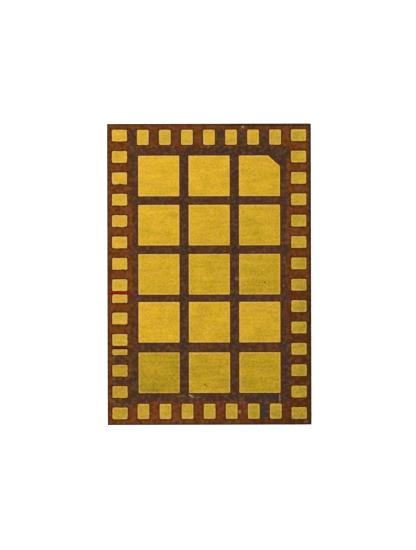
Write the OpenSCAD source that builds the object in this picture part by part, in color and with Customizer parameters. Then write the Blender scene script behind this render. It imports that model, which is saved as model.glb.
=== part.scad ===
// Radio power amplifier module in a land grid array package, lying on its moulded cap with its lands up.
// Sizes are in millimetres. The origin is at the middle of the cap's outer face, and +Y runs along the
// package.

/* [Package] */
// Width of the sawn outline
body_w = 4.74; // [4.3:0.02:5.4]
// Length of the sawn outline
body_l = 7.0; // [6.3:0.02:7.8]
// Thickness of the moulded cap
cap_h = 0.58; // [0.5:0.01:0.8]
// Diameter of the index dot in the cap's outer face
index_dot_d = 0.3; // [0.2:0.05:0.5]
// Depth of the index dot
index_dot_depth = 0.02; // [0.01:0.005:0.05]
// Distance from the centre of the index dot to the two edges beside it
index_dot_inset = 0.45; // [0.35:0.05:0.9]

/* [Laminate layers] */
// Thickness of the glass core
core_t = 0.1; // [0.06:0.01:0.3]
// Thickness of the resin between an inner and an outer copper layer
prepreg_t = 0.05; // [0.03:0.005:0.1]
// Thickness of an inner copper layer
plane_t = 0.015; // [0.01:0.001:0.03]
// Thickness of an outer copper layer
copper_t = 0.02; // [0.012:0.001:0.035]
// Thickness of the solder mask over copper
mask_t = 0.015; // [0.01:0.001:0.03]
// Distance from the sawn edge to the inner copper
plane_pullback = 0.12; // [0.08:0.01:0.2]

/* [Edge lands] */
// Size of an edge land along its edge
land_w = 0.28; // [0.24:0.01:0.32]
// Size of an edge land towards the middle
land_len = 0.36; // [0.3:0.01:0.4]
// Corner radius of an edge land
land_r = 0.03; // [0.01:0.005:0.06]
// Thickness of the nickel and gold on a land
plating_t = 0.006; // [0.003:0.001:0.01]
// Distance from the long edge to the lands of a column
column_inset = 0.11; // [0.08:0.01:0.16]
// Distance from the short edge to the end lands of a column
column_end = 0.134; // [0.1:0.002:0.2]
// Number of places in a column
column_n = 14; // [13:1:14]
// Distance from the short edge to the lands of a row
row_inset = 0.138; // [0.1:0.002:0.18]
// Clear space between a column and the end land of a row
row_end = 0.223; // [0.2:0.001:0.3]
// Number of lands in a row
row_n = 7; // [5:2:7]
// Copper under the mask round an edge land's window
collar = 0.03; // [0.02:0.005:0.04]
// Gap between the copper of a land and the ground copper
pad_gap = 0.015; // [0.01:0.005:0.03]

/* [Uneven stretch of the left column] */
// Last place of the upper even stretch, counted from 0 at the top
upper_even_end = 7; // [6:1:7]
// First place of the lower even stretch
lower_even_start = 11; // [11:1:12]
// Size of the first uneven land along the edge
uneven_1_w = 0.2; // [0.16:0.01:0.24]
// Size of the fourth uneven land along the edge
uneven_4_w = 0.14; // [0.12:0.01:0.2]
// Narrow gap before the first uneven land and before the fourth
narrow_gap = 0.075; // [0.07:0.005:0.12]

/* [Ground lands] */
// Ground copper between a column and the ground lands
ground_margin_x = 0.2025; // [0.15:0.0025:0.25]
// Ground copper between a row and the ground lands
ground_margin_y = 0.1955; // [0.15:0.0005:0.25]
// Corner radius of a ground land
ground_r = 0.015; // [0.01:0.005:0.06]
// Mask between two ground lands across the package
web_x = 0.205; // [0.15:0.005:0.25]
// Mask between two ground lands along the package
web_y = 0.1895; // [0.15:0.0005:0.25]
// Number of columns of ground lands
ground_cols = 3; // [2:1:3]
// Number of rows of ground lands
ground_rows = 5; // [4:1:5]
// Shift of the fourth row towards the third
fourth_row_shift = 0.03; // [0:0.005:0.04]
// Width of the cut corner that marks the first pin
index_cut_w = 0.28; // [0.15:0.01:0.4]
// Length of the cut corner
index_cut_l = 0.25; // [0.15:0.01:0.4]
// Depth of a relief in the long side of the ground copper
relief_d = 0.07; // [0.03:0.005:0.1]
// Distance from the end of a ground land to the end of the relief beside it
relief_end = 0.05; // [0:0.01:0.1]

/* [Vias] */
// Diameter of a via through the whole laminate
via_d = 0.1; // [0.06:0.01:0.12]
// Diameter of a via through one resin layer
microvia_d = 0.07; // [0.05:0.01:0.09]
// Diameter of the copper pad over a through via
via_pad_d = 0.2; // [0.16:0.01:0.22]
// Gap in the inner copper round a signal via
antipad_gap = 0.08; // [0.05:0.01:0.08]
// Number of heat vias along each side of a die
heat_via_n = 3; // [2:1:4]
// Pitch of the heat vias
heat_via_pitch = 0.28; // [0.2:0.01:0.28]

/* [Dies] */
// Width of an amplifier die
amp_w = 0.9; // [0.8:0.01:1]
// Length of an amplifier die
amp_l = 1.1; // [0.9:0.01:1.16]
// Thickness of an amplifier die
amp_t = 0.1; // [0.07:0.01:0.15]
// Side of the controller die
controller_w = 1.0; // [0.8:0.01:1.04]
// Thickness of the controller die
controller_t = 0.15; // [0.1:0.01:0.18]
// Width of the antenna switch die
switch_w = 1.2; // [1:0.01:1.3]
// Length of the antenna switch die
switch_l = 0.7; // [0.6:0.01:0.8]
// Thickness of the antenna switch die
switch_t = 0.12; // [0.08:0.01:0.15]
// Thickness of the die attach
attach_t = 0.02; // [0.01:0.005:0.03]
// Width of the die attach that shows round a die
attach_margin = 0.03; // [0.01:0.005:0.04]
// Width of the die flag that shows round a die
flag_margin = 0.08; // [0.06:0.01:0.09]
// Overlap of the mask on the copper at a window
mask_lap = 0.015; // [0.01:0.005:0.02]

/* [Bond wires] */
// Diameter of a bond wire
wire_d = 0.025; // [0.018:0.001:0.03]
// Pitch of the bond wires at a die
wire_pitch = 0.15; // [0.14:0.01:0.17]
// Diameter of the ball on the die
ball_d = 0.06; // [0.05:0.005:0.08]
// Height of the ball
ball_h = 0.015; // [0.01:0.001:0.02]
// Height of the loop over the die
loop_h = 0.1; // [0.08:0.01:0.15]
// Radius of the bend over the ball
bend_r = 0.05; // [0.03:0.005:0.06]
// Distance from a ball's centre to the edge of its die
ball_inset = 0.06; // [0.05:0.005:0.1]
// Distance from a die's edge to the fingers outside it
reach_out = 0.3; // [0.25:0.01:0.31]
// Distance from a die's edge to the pads on its inner side
reach_in = 0.25; // [0.22:0.01:0.27]
// Diameter of the stitch on the finger
stitch_d = 0.05; // [0.04:0.005:0.06]
// Thickness of the stitch
stitch_h = 0.012; // [0.01:0.001:0.015]
// Length of a bond finger
finger_len = 0.16; // [0.12:0.01:0.18]
// Width of a bond finger
finger_w = 0.1; // [0.09:0.005:0.11]
// Width of a trace
trace_w = 0.04; // [0.03:0.005:0.05]

/* [Passive chips] */
// Length of a chip over its terminals
chip_l = 0.6; // [0.5:0.01:0.62]
// Width of a chip
chip_w = 0.3; // [0.25:0.01:0.32]
// Height of a capacitor
capacitor_h = 0.28; // [0.2:0.01:0.33]
// Height of an inductor
inductor_h = 0.32; // [0.2:0.01:0.36]
// Length of a terminal along the chip
band = 0.12; // [0.08:0.01:0.15]
// Thickness of a terminal
band_t = 0.012; // [0.008:0.001:0.02]
// Gap between a terminal and the plane of the mask
standoff = 0.01; // [0.005:0.001:0.02]
// Length of a chip pad
chip_pad_l = 0.26; // [0.2:0.01:0.28]
// Width of a chip pad
chip_pad_w = 0.32; // [0.28:0.01:0.36]
// Length of a chip pad outside its chip
pad_toe = 0.055; // [0.05:0.005:0.075]
// Height of the solder on a terminal
fillet_h = 0.12; // [0.08:0.01:0.16]
// Clear space between the chips of a row and the via pads of a column
chip_clear = 0.08; // [0.06:0.01:0.12]
// Least gap between the pads of two chips in a row
chip_gap = 0.04; // [0.03:0.005:0.06]
// Pitch of the chips beside the antenna switch
side_chip_pitch = 0.62; // [0.5:0.01:0.64]

/* [Hidden] */
$fn = 32;
// Sides of a land's corner
corner_steps = 4;
// Levels, from the cap's outer face up to the lands
mask_1_z = cap_h;
copper_1_z = mask_1_z + mask_t;
prepreg_1_z = copper_1_z + copper_t;
plane_2_z = prepreg_1_z + prepreg_t;
core_z = plane_2_z + plane_t;
plane_3_z = core_z + core_t;
prepreg_2_z = plane_3_z + plane_t;
copper_4_z = prepreg_2_z + prepreg_t;
land_z = copper_4_z + copper_t;
top_z = land_z + mask_t;

// Edge lands, each as its centre and its size: [x, y, w, l]
column_x = body_w / 2 - column_inset - land_len / 2;
row_y = body_l / 2 - row_inset - land_len / 2;
column_pitch = (body_l - 2 * column_end - land_w) / (column_n - 1);
row_pitch = (2 * column_x - land_len - 2 * row_end - land_w) / (row_n - 1);
function column_y(step) = ((column_n - 1) / 2 - step) * column_pitch;
function column_land(side, y, w) = [side * column_x, y, land_len, w];
function even_lands(side, first, last) = [for (i = [first : last]) column_land(side, column_y(i), land_w)];

// Uneven lands: the first and the fourth follow a narrow gap, and the other gaps are equal
uneven_top = column_y(upper_even_end) - land_w / 2;
uneven_room = uneven_top - column_y(lower_even_start) - land_w / 2;
uneven_gap = (uneven_room - uneven_1_w - 2 * land_w - uneven_4_w - 2 * narrow_gap) / 3;
uneven_1_y = uneven_top - narrow_gap - uneven_1_w / 2;
uneven_2_y = uneven_1_y - uneven_1_w / 2 - uneven_gap - land_w / 2;
uneven_3_y = uneven_2_y - land_w - uneven_gap;
uneven_4_y = uneven_3_y - land_w / 2 - narrow_gap - uneven_4_w / 2;
uneven = [
    column_land(-1, uneven_1_y, uneven_1_w), column_land(-1, uneven_2_y, land_w),
    column_land(-1, uneven_3_y, land_w), column_land(-1, uneven_4_y, uneven_4_w)
];
left_edge = concat(even_lands(-1, 0, upper_even_end), uneven, even_lands(-1, lower_even_start, column_n - 1));
right_edge = even_lands(1, 0, column_n - 1);
function row_edge(side) = [
    for (i = [0 : row_n - 1]) [(i - (row_n - 1) / 2) * row_pitch, side * row_y, land_w, land_len]
];
top_edge = row_edge(1);
bottom_edge = row_edge(-1);
edge_lands = concat(left_edge, right_edge, top_edge, bottom_edge);

// Gaps between edge lands that the ground copper fills, by the number of the land before the gap
left_ties = [for (i = [upper_even_end + len(uneven) : len(left_edge) - 2]) i];
top_ties = [for (i = [row_n - 4 : row_n - 2]) i];
bottom_ties = [row_n - 2];
pour_w = body_w - 2 * (column_inset + land_len + collar + pad_gap);
pour_l = body_l - 2 * (row_inset + land_len + collar + pad_gap);
ground_w = (pour_w - 2 * ground_margin_x - (ground_cols - 1) * web_x) / ground_cols;
ground_l = (pour_l - 2 * ground_margin_y - (ground_rows - 1) * web_y) / ground_rows;
ground_pitch_x = ground_w + web_x;
ground_pitch_y = ground_l + web_y;
function ground_y(row) = ((ground_rows + 1) / 2 - row) * ground_pitch_y + (row == 4 ? fourth_row_shift : 0);
// Rows of ground lands beside which the ground copper steps back on the left and on the right
left_reliefs = [2, 3];
right_reliefs = [for (row = [1 : ground_rows - 1]) row];
// Clear space beside the first and last land of a row starts this far from the middle line
corner_x = (row_n - 1) / 2 * row_pitch + land_w / 2 + collar + pad_gap;

// Component side from the top row's via pads down: chips, two dies, chips, two dies, then the antenna
// switch between its fingers, and the bottom row's via pads. The same clear space lies between them.
via_inner_x = column_x - via_pad_d / 2;
via_inner_y = row_y - via_pad_d / 2;
upper_flag_l = amp_l + 2 * flag_margin;
lower_flag_l = max(amp_l, controller_w) + 2 * flag_margin;
switch_run = reach_in + switch_l + reach_out + finger_len;
clear_y = (2 * via_inner_y - 2 * chip_pad_w - upper_flag_l - lower_flag_l - switch_run) / 6;
upper_row_y = via_inner_y - clear_y - chip_pad_w / 2;
upper_die_y = upper_row_y - chip_pad_w / 2 - clear_y - upper_flag_l / 2;
middle_row_y = upper_die_y - upper_flag_l / 2 - clear_y - chip_pad_w / 2;
lower_die_y = middle_row_y - chip_pad_w / 2 - clear_y - lower_flag_l / 2;
switch_y = -via_inner_y + clear_y + finger_len / 2 + reach_out + switch_l / 2;
// An amplifier die has as much clear space beyond its fingers as beyond its inner pad
die_x = (via_inner_x - finger_len / 2 - reach_out + reach_in + finger_w / 2) / 2;

// Dies, each as [x, y, w, l, t]
low_die = [-die_x, upper_die_y, amp_w, amp_l, amp_t];
mid_die = [die_x, upper_die_y, amp_w, amp_l, amp_t];
high_die = [die_x, lower_die_y, amp_w, amp_l, amp_t];
controller = [-die_x, lower_die_y, controller_w, controller_w, controller_t];
switch = [0, switch_y, switch_w, switch_l, switch_t];
dies = [low_die, mid_die, high_die, controller, switch];

// Groups of bond wires, each as [die, direction of the wires, number, reach, one wide pad or fingers]
low_groups = [[low_die, 180, 5, reach_out, false], [low_die, 0, 4, reach_in, true]];
mid_groups = [[mid_die, 0, 5, reach_out, false], [mid_die, 180, 4, reach_in, true]];
high_groups = [[high_die, 0, 5, reach_out, false], [high_die, 180, 4, reach_in, true]];
controller_groups = [[controller, 180, 5, reach_out, false], [controller, 0, 4, reach_in, false]];
switch_groups = [[switch, 270, 3, reach_out, false], [switch, 90, 4, reach_in, false]];
wire_groups = concat(low_groups, mid_groups, high_groups, controller_groups, switch_groups);

// Half of a die's size along the wires, and the place of wire number i across them
function half_along(g) = (g[1] % 180 == 0 ? g[0][2] : g[0][3]) / 2;
function across(g, i) = (i - (g[2] - 1) / 2) * wire_pitch;
// A point given along and across the wires of a group, in the package's frame
function group_point(g, along, side) = [
    g[0][0] + along * cos(g[1]) - side * sin(g[1]), g[0][1] + along * sin(g[1]) + side * cos(g[1])
];
function finger_centre(g, i) = group_point(g, half_along(g) + g[3], across(g, i));

// Traces, each from the centre of a finger to the centre of an edge land's via
function to_column(g, edge, first, sign) = [
    for (i = [0 : g[2] - 1]) [finger_centre(g, i), edge[sign > 0 ? first + i : first + g[2] - 1 - i]]
];
traces = concat(
    to_column(low_groups[0], left_edge, 1, 1), to_column(mid_groups[0], right_edge, 1, -1),
    to_column(controller_groups[0], left_edge, 6, 1), to_column(high_groups[0], right_edge, 6, -1),
    to_column(switch_groups[0], bottom_edge, (row_n - switch_groups[0][2]) / 2, 1)
);

// Chips, each as [x, y], in two rows with as many as fit, and in two columns beside the antenna switch
chip_run = chip_l + 2 * pad_toe;
row_room = 2 * (via_inner_x - chip_clear);
chips_in_row = floor((row_room + chip_gap) / (chip_run + chip_gap));
chip_pitch = (row_room - chip_run) / (chips_in_row - 1);
side_chip_x = (switch_w / 2 + flag_margin + via_inner_x) / 2;
function chip_row(first, y) = [
    for (i = [first : 2 : chips_in_row - 1]) [(i - (chips_in_row - 1) / 2) * chip_pitch, y]
];
inductors = concat(chip_row(1, upper_row_y), chip_row(0, middle_row_y));
capacitors = concat(
    chip_row(0, upper_row_y), chip_row(1, middle_row_y),
    [for (side = [-1, 1], i = [-1 : 1]) [side * side_chip_x, switch_y + i * side_chip_pitch]]
);
chips = concat(inductors, capacitors);
chip_pad_x = chip_l / 2 + pad_toe - chip_pad_l / 2;
chip_pads = [for (c = chips, side = [-1, 1]) [c[0] + side * chip_pad_x, c[1]]];

// Centres of the vias
heat_vias = [
    for (d = dies, i = [0 : heat_via_n - 1], j = [0 : heat_via_n - 1]) [
        d[0] + (i - (heat_via_n - 1) / 2) * heat_via_pitch,
        d[1] + (j - (heat_via_n - 1) / 2) * heat_via_pitch * (d[3] < d[2] ? d[3] / d[2] : 1)
    ]
];
microvias = concat(
    chip_pads, [for (g = wire_groups) if (g[3] == reach_in) for (i = [0 : g[2] - 1]) finger_centre(g, i)]
);

function ground_name(row, col) = str("ground_land_", row, "_", col);

// Rectangle with rounded corners, as points that run round it from the right side of its first corner
function rounded(w, l, r) = [
    for (corner = [0 : 3], i = [0 : corner_steps])
        let (middle = 45 + 90 * corner, a = 90 * (corner + i / corner_steps))
        [sign(cos(middle)) * (w / 2 - r) + r * cos(a), sign(sin(middle)) * (l / 2 - r) + r * sin(a)]
];

module layer(z, t) translate([0, 0, z]) linear_extrude(height = t) children();

module outline() square([body_w, body_l], center = true);

module land_shape(land, grow) translate([land[0], land[1]])
    polygon(rounded(land[2] + 2 * grow, land[3] + 2 * grow, land_r + grow));

// Ground land of a row and column, with the index cut on the first row's last one
module ground_shape(row, col) {
    points = rounded(ground_w, ground_l, ground_r);
    last = len(points) - 1;
    cut = [
        [ground_w / 2, ground_l / 2 - index_cut_l], [ground_w / 2 - index_cut_w, ground_l / 2]
    ];
    translate([(col - (ground_cols + 1) / 2) * ground_pitch_x, ground_y(row)])
        if (row == 1 && col == ground_cols)
            polygon(concat(cut, [for (i = [corner_steps + 1 : last]) points[i]]));
        else
            polygon(points);
}

module ground_shapes() for (row = [1 : ground_rows], col = [1 : ground_cols]) ground_shape(row, col);

// Ground copper of the land side: one sheet with a tongue in each gap that is tied to it. A strip in the
// clear space beside the rows joins a column's tongue to the sheet, also where it lies past the sheet's end.
module corner_strip(y) translate([-pour_w / 2, min(y, 0)]) square([pour_w / 2 - corner_x, abs(y)]);

module column_tie(edge, i) {
    upper = edge[i][1] - edge[i][3] / 2 - collar - pad_gap;
    lower = edge[i + 1][1] + edge[i + 1][3] / 2 + collar + pad_gap;
    translate([-column_x - land_len / 2, lower]) square([column_x + land_len / 2 - corner_x, upper - lower]);
    corner_strip(lower);
}

module row_tie(edge, i, side) {
    tie_w = row_pitch - land_w - 2 * (collar + pad_gap);
    x = (edge[i][0] + edge[i + 1][0]) / 2;
    tie_l = row_y + land_len / 2 - pour_l / 2;
    translate([x, side * (pour_l + tie_l) / 2]) square([tie_w, tie_l], center = true);
}

module reliefs(side, rows) for (row = rows) translate([side * pour_w / 2, ground_y(row)])
    square([2 * relief_d, ground_l - 2 * relief_end], center = true);

module pour_shape() difference() {
    union() {
        square([pour_w, pour_l], center = true);
        for (i = left_ties) column_tie(left_edge, i);
        for (i = top_ties) row_tie(top_edge, i, 1);
        for (i = bottom_ties) row_tie(bottom_edge, i, -1);
        corner_strip(row_y + land_len / 2);
    }
    reliefs(-1, left_reliefs);
    reliefs(1, right_reliefs);
}

module via_holes(centres, d, z, h) for (c = centres) translate([c[0], c[1], z]) cylinder(d = d, h = h);

// Shapes of the component side's copper. grow is negative for the mask's windows over them.
module flag_shapes(grow) for (d = dies) translate([d[0], d[1]])
    square([d[2] + 2 * (flag_margin + grow), d[3] + 2 * (flag_margin + grow)], center = true);

module finger_shapes(grow) for (g = wire_groups)
    if (g[4])
        translate(group_point(g, half_along(g) + g[3], 0)) rotate(g[1])
            square([finger_w + 2 * grow, g[2] * wire_pitch + 2 * grow], center = true);
    else
        for (i = [0 : g[2] - 1]) translate(finger_centre(g, i)) rotate(g[1])
            square([finger_len + 2 * grow, finger_w + 2 * grow], center = true);

module chip_pad_shapes(grow) for (c = chip_pads) translate(c)
    square([chip_pad_l + 2 * grow, chip_pad_w + 2 * grow], center = true);

module trace_shape(from, to) {
    run = [to[0] - from[0], to[1] - from[1]];
    translate([from[0], from[1]]) rotate(atan2(run[1], run[0])) translate([0, -trace_w / 2])
        square([norm(run), trace_w]);
}

module routing_shapes() {
    for (t = traces) trace_shape(t[0], t[1]);
    for (l = edge_lands) translate([l[0], l[1]]) circle(d = via_pad_d);
}

// The component side hangs under the laminate: its own heights run down from the face of its mask
module component_side() translate([0, 0, mask_1_z]) mirror([0, 0, 1]) children();

module die_block(d) color("dimgray") component_side()
    translate([d[0] - d[2] / 2, d[1] - d[3] / 2, attach_t - mask_t]) cube([d[2], d[3], d[4]]);

module attach_blocks() component_side() for (d = dies)
    translate([d[0] - d[2] / 2 - attach_margin, d[1] - d[3] / 2 - attach_margin, -mask_t])
        cube([d[2] + 2 * attach_margin, d[3] + 2 * attach_margin, attach_t]);

module wire_arc(r, from, to)
    rotate(to) rotate_extrude(angle = from - to) translate([r, 0]) circle(d = wire_d);

// One wire, along +X from its ball at the origin: a ball, a rise, a tight bend, a falling arc and a stitch

module wire(run, drop) {
    top = loop_h;
    fall = top + drop - stitch_h / 2;
    along = run - bend_r;
    fall_r = (along * along + fall * fall) / (2 * fall);
    sweep = 2 * atan(fall / along);
    cylinder(d = ball_d, h = ball_h);
    translate([0, 0, ball_h / 2]) cylinder(d = wire_d, h = top - bend_r - ball_h / 2);
    rotate([90, 0, 0]) {
        translate([bend_r, top - bend_r]) wire_arc(bend_r, 180, 90);
        translate([bend_r, top - fall_r]) wire_arc(fall_r, 90, 90 - sweep);
    }
    translate([run, 0, -drop]) cylinder(d = stitch_d, h = stitch_h);
}

module wires(groups) component_side() for (g = groups, i = [0 : g[2] - 1]) {
    die_top = attach_t - mask_t + g[0][4];
    translate(concat(group_point(g, half_along(g) - ball_inset, across(g, i)), [die_top])) rotate(g[1])
        wire(ball_inset + g[3], die_top + mask_t);
}

// A chip along X: a ceramic body whose ends stand in two metal caps
module chip_body(h) translate([0, 0, standoff + h / 2])
    cube([chip_l - 2 * band_t, chip_w - 2 * band_t, h - 2 * band_t], center = true);

module chip_terminals(h) difference() {
    for (side = [-1, 1]) translate([side * (chip_l - band) / 2, 0, standoff + h / 2])
        cube([band, chip_w, h], center = true);
    chip_body(h);
}

module solder_joints() for (side = [-1, 1]) mirror([side < 0 ? 1 : 0, 0, 0]) {
    inner = chip_l / 2 + pad_toe - chip_pad_l + mask_lap;
    outer = chip_l / 2 + pad_toe - mask_lap;
    width = min(chip_w, chip_pad_w - 2 * mask_lap);
    translate([0, width / 2, 0]) rotate([90, 0, 0]) linear_extrude(height = width)
        polygon([[inner, -mask_t], [outer, -mask_t], [outer, 0], [chip_l / 2, fillet_h],
                 [chip_l / 2, standoff], [inner, standoff]]);
}

module at_chips(places) component_side() for (c = places) translate([c[0], c[1], 0]) children();

module capacitor_bodies() color("tan") at_chips(capacitors) chip_body(capacitor_h);
module capacitor_terminals() color("silver") at_chips(capacitors) chip_terminals(capacitor_h);
module inductor_bodies() color("steelblue") at_chips(inductors) chip_body(inductor_h);
module inductor_terminals() color("silver") at_chips(inductors) chip_terminals(inductor_h);
module chip_solder() color("gainsboro") at_chips(chips) solder_joints();

module die_attach() color("silver") attach_blocks();
module low_band_wires() color("gold") wires(low_groups);
module mid_band_wires() color("gold") wires(mid_groups);
module high_band_wires() color("gold") wires(high_groups);
module controller_wires() color("gold") wires(controller_groups);
module antenna_switch_wires() color("gold") wires(switch_groups);

// Epoxy cast round everything on the component side, down into the windows of its mask
module mould_cap() color("#2a2a2c") difference() {
    union() {
        layer(0, cap_h) outline();
        layer(mask_1_z, mask_t) component_windows();
    }
    translate([body_w / 2 - index_dot_inset, body_l / 2 - index_dot_inset, 0])
        cylinder(d = index_dot_d, h = index_dot_depth);
    for (d = dies) die_block(d);
    attach_blocks();
    wires(wire_groups);
    at_chips(capacitors) {
        chip_body(capacitor_h);
        chip_terminals(capacitor_h);
    }
    at_chips(inductors) {
        chip_body(inductor_h);
        chip_terminals(inductor_h);
    }
    at_chips(chips) solder_joints();
}

module component_windows() {
    flag_shapes(-mask_lap);
    finger_shapes(-mask_lap);
    chip_pad_shapes(-mask_lap);
}

module component_mask() color("#6b4a2f") difference() {
    layer(mask_1_z, mask_t + copper_t) outline();
    layer(mask_1_z, mask_t) component_windows();
    layer(copper_1_z, copper_t) {
        flag_shapes(0);
        finger_shapes(0);
        chip_pad_shapes(0);
        routing_shapes();
    }
}

module die_flags() color("#c98a4b") layer(copper_1_z, copper_t) flag_shapes(0);

module bond_fingers() color("#c98a4b") layer(copper_1_z, copper_t) {
    finger_shapes(0);
    routing_shapes();
}

module chip_land_pads() color("#c98a4b") layer(copper_1_z, copper_t) chip_pad_shapes(0);

// Inner copper: a sheet with a clear ring round each signal via and a fitted hole round each heat via
module plane(z) difference() {
    layer(z, plane_t) difference() {
        square([body_w - 2 * plane_pullback, body_l - 2 * plane_pullback], center = true);
        for (l = edge_lands) translate([l[0], l[1]]) circle(d = via_d + 2 * antipad_gap);
    }
    via_holes(heat_vias, via_d, z, plane_t);
}

module power_plane() color("#b87333") plane(plane_2_z);
module ground_plane() color("#b87333") plane(plane_3_z);

module through_vias(z, h) {
    via_holes(heat_vias, via_d, z, h);
    via_holes(edge_lands, via_d, z, h);
}

module component_prepreg() color("#b9a36a") difference() {
    layer(prepreg_1_z, prepreg_t + plane_t) outline();
    plane(plane_2_z);
    through_vias(prepreg_1_z, prepreg_t + plane_t);
    via_holes(microvias, microvia_d, prepreg_1_z, prepreg_t);
}

module laminate_core() color("#c2ad74") difference() {
    layer(core_z, core_t) outline();
    through_vias(core_z, core_t);
}

module land_prepreg() color("#b9a36a") difference() {
    layer(plane_3_z, plane_t + prepreg_t) outline();
    plane(plane_3_z);
    through_vias(plane_3_z, plane_t + prepreg_t);
}

module heat_via_posts() color("#b87333") via_holes(heat_vias, via_d, prepreg_1_z, copper_4_z - prepreg_1_z);
module signal_via_posts() color("#b87333")
    via_holes(edge_lands, via_d, prepreg_1_z, copper_4_z - prepreg_1_z);
module chip_via_posts() color("#b87333") via_holes(microvias, microvia_d, prepreg_1_z, prepreg_t);

module ground_pour() color("#5a4030") layer(copper_4_z, copper_t) pour_shape();

module edge_pads() color("#7a4514") layer(copper_4_z, copper_t) for (l = edge_lands) land_shape(l, collar);

module land_mask() color("#8a4a22") difference() {
    layer(copper_4_z, copper_t + mask_t) outline();
    layer(copper_4_z, copper_t) {
        pour_shape();
        for (l = edge_lands) land_shape(l, collar);
    }
    layer(land_z, mask_t) {
        ground_shapes();
        for (l = edge_lands) land_shape(l, 0);
    }
}

module edge_plating(lands) color("#c9a22c") layer(land_z, plating_t) for (l = lands) land_shape(l, 0);

module ground_land(row, col) color("#d0a82a") layer(land_z, plating_t) ground_shape(row, col);

mould_cap();
component_mask();
die_flags();
bond_fingers();
chip_land_pads();
component_prepreg();
power_plane();
laminate_core();
ground_plane();
land_prepreg();
heat_via_posts();  // heat_vias
signal_via_posts();  // signal_vias
chip_via_posts();  // chip_vias
ground_pour();
edge_pads();
land_mask();
edge_plating(left_edge);  // left_lands
edge_plating(right_edge);  // right_lands
edge_plating(top_edge);  // top_lands
edge_plating(bottom_edge);  // bottom_lands
die_block(low_die);  // low_band_die
die_block(mid_die);  // mid_band_die
die_block(high_die);  // high_band_die
die_block(controller);  // controller_die
die_block(switch);  // antenna_switch_die
die_attach();
low_band_wires();
mid_band_wires();
high_band_wires();
controller_wires();
antenna_switch_wires();
capacitor_bodies();
capacitor_terminals();
inductor_bodies();
inductor_terminals();
chip_solder();
for (row = [1 : ground_rows], col = [1 : ground_cols])
    ground_land(row, col);
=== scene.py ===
import bpy
import numpy as np
from mathutils.geometry import delaunay_2d_cdt
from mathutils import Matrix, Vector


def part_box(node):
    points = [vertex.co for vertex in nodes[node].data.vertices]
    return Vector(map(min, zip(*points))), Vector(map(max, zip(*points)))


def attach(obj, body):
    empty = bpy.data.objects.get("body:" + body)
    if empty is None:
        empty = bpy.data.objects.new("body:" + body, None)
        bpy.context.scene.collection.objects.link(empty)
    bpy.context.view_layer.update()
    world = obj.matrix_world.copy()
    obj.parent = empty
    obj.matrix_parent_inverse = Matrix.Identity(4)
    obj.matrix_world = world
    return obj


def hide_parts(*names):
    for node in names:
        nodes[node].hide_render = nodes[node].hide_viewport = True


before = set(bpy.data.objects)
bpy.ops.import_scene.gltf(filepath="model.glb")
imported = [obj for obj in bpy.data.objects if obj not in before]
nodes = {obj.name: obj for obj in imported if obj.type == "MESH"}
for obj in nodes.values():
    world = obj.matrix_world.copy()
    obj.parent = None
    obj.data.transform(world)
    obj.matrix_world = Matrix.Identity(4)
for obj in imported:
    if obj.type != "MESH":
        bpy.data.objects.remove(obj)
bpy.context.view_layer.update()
print("frame loaded,", len(nodes), "nodes")

mm = 0.001
micron = 0.001 * mm
near = 0.1 * micron  # points no further apart than this share a level
bodyLow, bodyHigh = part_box("land_mask")
faceTop = bodyHigh.z  # highest level of the land side
copperBottom, landBottom = (corner.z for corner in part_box("edge_pads"))  # the plating starts on the copper
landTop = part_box("left_lands")[1].z


# Colours, steps and small waves
overheadLight = 1.3  # brightness of the sky straight above the part, by which each colour is divided


def linear(red, green, blue):
    # Screen colour to light: each channel c, from 0 to 255, becomes ((c / 255 + 0.055) / 1.055) to the power
    # 2.4, and near black c / 255 / 12.92
    share = np.array([red, green, blue]) / 255
    return np.where(share > 0.04045, ((share + 0.055) / 1.055) ** 2.4, share / 12.92)


def lit(red, green, blue):
    # The base colour that looks like this from above: its light divided by the overhead light
    return tuple(linear(red, green, blue) / overheadLight) + (1.0,)


def smoothStep(value, low, high):
    # 3 t^2 - 2 t^3, with t running from 0 at low to 1 at high
    t = np.clip((value - low) / (high - low), 0, 1)
    return t * t * (3 - 2 * t)


waves = (  # height, radians per millimetre along x and along y, start
    (0.4, 31, 17, 1.3),
    (0.35, 23, -41, 0),
    (0.25, 67, 59, 0.7),
)


def wander(x, y):
    # Sum of sines that cross both axes at a slant: a smooth ripple from -1 to 1, 0.07 to 0.2 mm long
    u, v = x / mm, y / mm
    return sum(height * np.sin(alongX * u + alongY * v + start) for height, alongX, alongY, start in waves)


# Material building
def newMaterial(name, color, roughness, metallic=0.0, specular=0.5):
    # A Principled material. These plain values stay where no texture is joined to their socket.
    material = bpy.data.materials.new(name)
    material.use_nodes = True
    shader = material.node_tree.nodes["Principled BSDF"]
    shader.inputs["Base Color"].default_value = color
    shader.inputs["Roughness"].default_value = roughness
    shader.inputs["Metallic"].default_value = metallic
    shader.inputs["Specular IOR Level"].default_value = specular
    return material


def addNode(material, kind, **settings):
    # A new shader node. A setting that the node lacks as a property is the value of the input of that name.
    node = material.node_tree.nodes.new(kind)
    for key, value in settings.items():
        if hasattr(node, key):
            setattr(node, key, value)
        else:
            node.inputs[key.replace("_", " ")].default_value = value
    return node


def join(material, output, socket):
    # One link
    material.node_tree.links.new(output, socket)


def objectPlace(material):
    # Position on the piece, in metres
    return addNode(material, "ShaderNodeTexCoord").outputs["Object"]


def objectAxis(material, axis):
    # The X, Y or Z of that position
    split = addNode(material, "ShaderNodeSeparateXYZ")
    join(material, objectPlace(material), split.inputs["Vector"])
    return split.outputs[axis]


def patternPlace(material, stretch=(1, 1, 1), offset=0.0):
    # Position times stretch, moved by offset to another part of a pattern
    mapping = addNode(material, "ShaderNodeMapping", Scale=stretch, Location=(offset, offset, 0))
    join(material, objectPlace(material), mapping.inputs["Vector"])
    return mapping.outputs["Vector"]


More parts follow.
